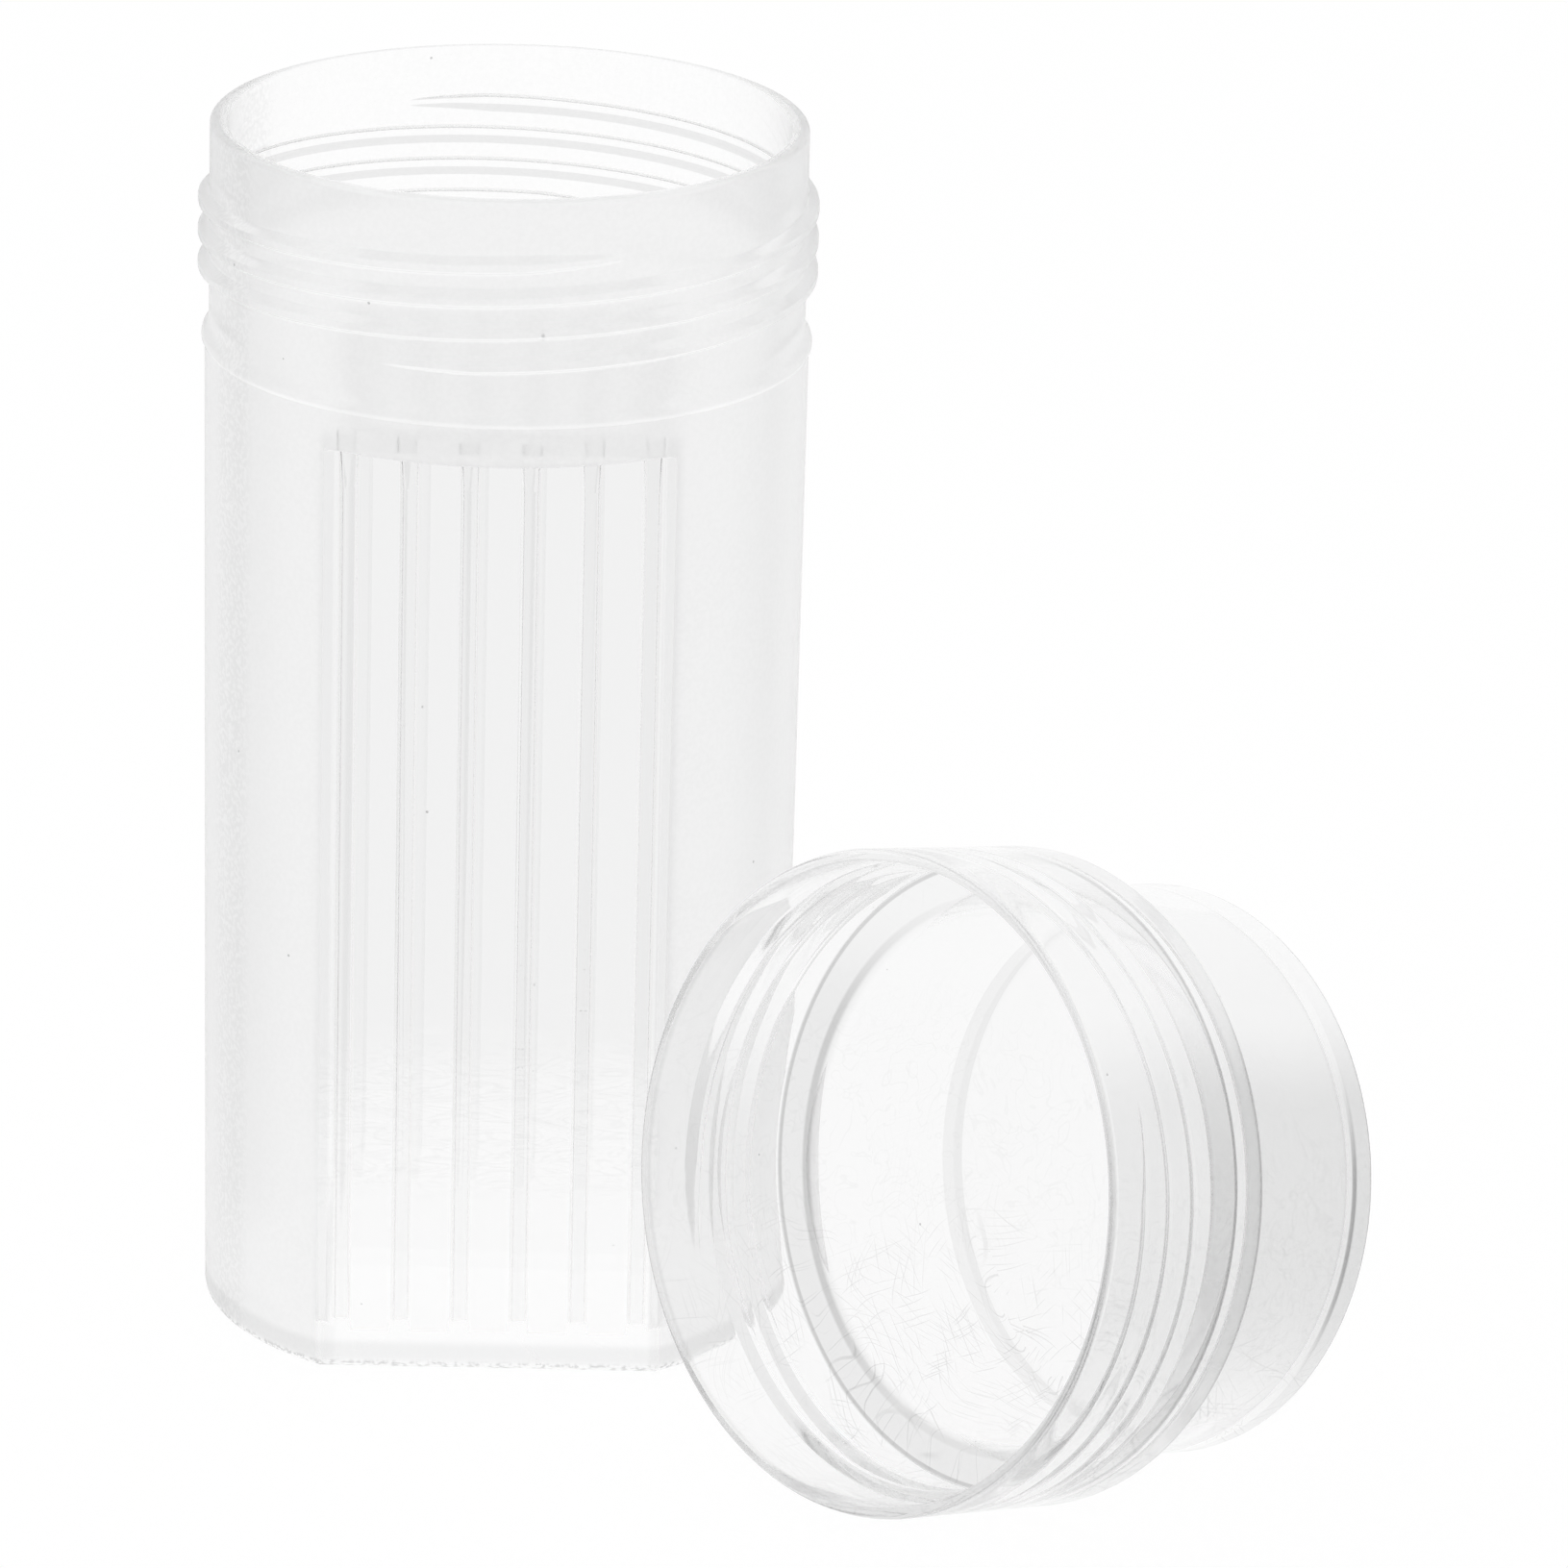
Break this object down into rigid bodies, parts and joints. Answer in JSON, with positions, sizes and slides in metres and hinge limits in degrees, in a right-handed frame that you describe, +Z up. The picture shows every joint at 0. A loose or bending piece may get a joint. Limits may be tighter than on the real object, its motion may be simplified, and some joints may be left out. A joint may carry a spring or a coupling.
{
  "type": "slide staining jar",
  "caption": "Tall translucent plastic jar with two flat sides ribbed inside to hold microscope slides on end, a round threaded neck, and a stepped screw cap lying beside it.",
  "frame": {"origin": "centre of the jar's underside, on the jar's axis", "axes": "+Z up along the jar's axis, out of its mouth; the jar's two flat sides face -Y and +Y, and -Y is the front; the cap lies at +X, -Y with its mouth towards the front of the jar"},
  "size_m": [0.0727, 0.0724, 0.077],
  "materials": {
    "natural_polypropylene": "natural translucent polypropylene, finely frosted on the jar's round sides and polished on its flats and on the cap"
  },
  "bodies": {
    "root": {"jar": "natural_polypropylene", "screw_cap": "natural_polypropylene"}
  },
  "joints": []
}
